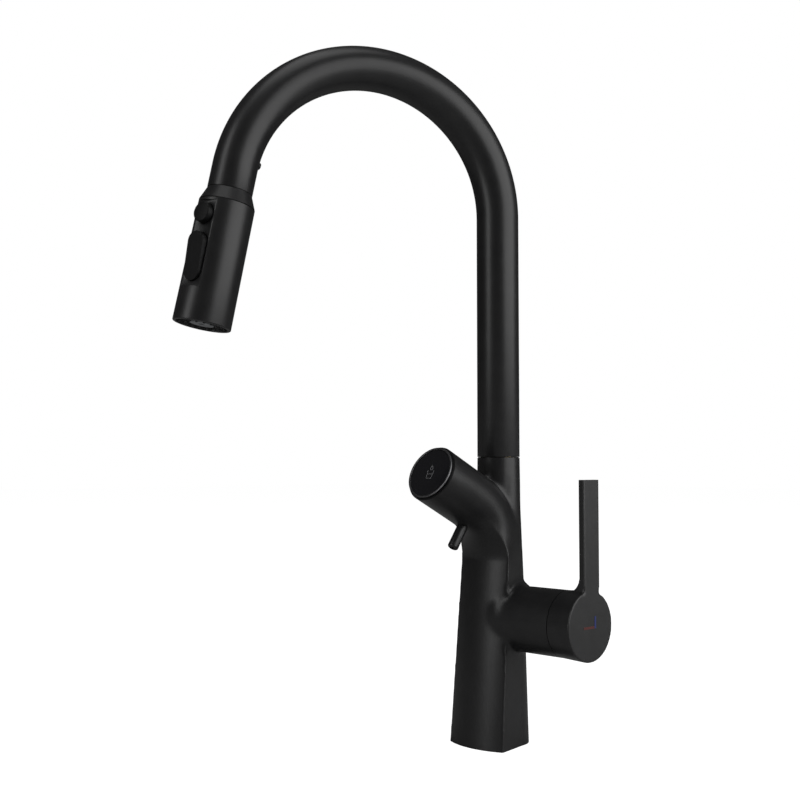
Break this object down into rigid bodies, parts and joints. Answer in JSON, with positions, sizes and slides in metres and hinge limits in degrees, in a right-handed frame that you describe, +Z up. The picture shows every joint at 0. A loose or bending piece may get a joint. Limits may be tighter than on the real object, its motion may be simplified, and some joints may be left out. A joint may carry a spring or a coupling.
{
  "type": "pull-down kitchen faucet",
  "caption": "Matt black pull-down kitchen faucet with swivelling gooseneck, side lever and a push-button filtered water outlet.",
  "frame": {"origin": "centre of the round column at the underside of the base gasket, on the deck", "axes": "+Z up the column, -Y the front, where the filtered-water nozzle points, +X the lever side"},
  "size_m": [0.1669, 0.2256, 0.4509],
  "materials": {
    "black_coat": "matt black powder coat",
    "grey_coat": "satin dark coat on the lever",
    "black_plastic": "dark satin plastic",
    "gloss_cap": "dark glossy cap",
    "trim": "dark brushed metal trim",
    "brass": "turned brass",
    "steel": "stainless steel",
    "copper_tube": "drawn tube",
    "rubber": "seal rubber",
    "silicone": "soft grey silicone",
    "nylon": "white nylon",
    "grey_plastic": "engineering plastic",
    "magnet": "nickel-plated magnet",
    "hose_braid": "woven nylon over rubber",
    "red_mark": "red enamel",
    "blue_mark": "blue enamel"
  },
  "bodies": {
    "faucet_body": {"body_shell": "black_coat", "base_gasket": "rubber", "inlet_manifold": "brass", "hot_pipe": "copper_tube", "cold_pipe": "copper_tube", "filter_pipe": "copper_tube", "cartridge_seal": "rubber", "cartridge_body": "grey_plastic", "cartridge_nut": "brass", "cartridge_cover": "steel", "push_valve_body": "brass", "valve_retainer": "steel", "push_valve_spring": "steel", "filter_outlet_tube": "black_coat", "filter_outlet_tip": "black_plastic", "swivel_washer": "black_plastic"},
    "lever": {"lever_handle": "grey_coat", "cartridge_stem": "brass", "handle_set_screw": "steel", "handle_screw_plug": "rubber", "hot_mark": "red_mark", "cold_mark": "blue_mark"},
    "filter_button": {"filter_button": "gloss_cap", "button_ring": "trim", "push_valve_stem": "grey_plastic"},
    "spout": {"gooseneck_tube": "black_coat", "swivel_sleeve": "brass", "sleeve_lower_seal": "rubber", "sleeve_upper_seal": "rubber", "sleeve_snap_ring": "steel", "dock_collar": "grey_plastic", "dock_magnet": "magnet", "hose_guide_bush": "nylon", "dock_lock_screw": "black_coat", "pull_hose": "hose_braid"},
    "spray_head": {"spray_neck": "black_coat", "neck_armature": "steel", "connector_seal": "rubber", "hose_connector": "brass", "check_valve": "grey_plastic", "spray_shell": "black_coat", "rocker_pin": "steel", "spray_core": "grey_plastic", "diverter_body": "grey_plastic", "diverter_spool": "grey_plastic", "face_seal": "rubber", "aerator": "grey_plastic", "nozzle_pad": "silicone", "spray_face_plate": "black_plastic"},
    "round_button": {"round_button": "black_plastic"},
    "rocker": {"rocker_switch": "black_plastic"}
  },
  "joints": [
    {"name": "spout_swivel", "type": "hinge", "parent": "faucet_body", "child": "spout", "pos_m": [0, 0, 0.17], "axis": [0, 0, 1], "range_deg": [-98, 142]},
    {"name": "lever_turn", "type": "hinge", "parent": "faucet_body", "child": "lever", "pos_m": [0.06, 0, 0.0816], "axis": [1, 0, 0], "range_deg": [0, 90]},
    {"name": "filter_push", "type": "slide", "parent": "faucet_body", "child": "filter_button", "axis": [0, 0.8963, -0.4435], "range_m": [0, 0.0012], "stiffness_N_per_m": 1200, "springref_m": -0.0005, "deforming": ["push_valve_spring"]},
    {"name": "head_pull", "type": "slide", "parent": "spout", "child": "spray_head", "axis": [-0.0735, -0.1835, -0.9803], "range_m": [0, 0.24], "deforming": ["pull_hose"]},
    {"name": "round_push", "type": "slide", "parent": "spray_head", "child": "round_button", "axis": [-0.1999, 0.9657, -0.1658], "range_m": [0, 0.0016], "stiffness_N_per_m": 800, "springref_m": -0.0005},
    {"name": "rocker_tilt", "type": "hinge", "parent": "spray_head", "child": "rocker", "pos_m": [-0.06918, -0.19146, 0.30515], "axis": [-0.9771, -0.1837, 0.1077], "range_deg": [-3, 3]}
  ]
}
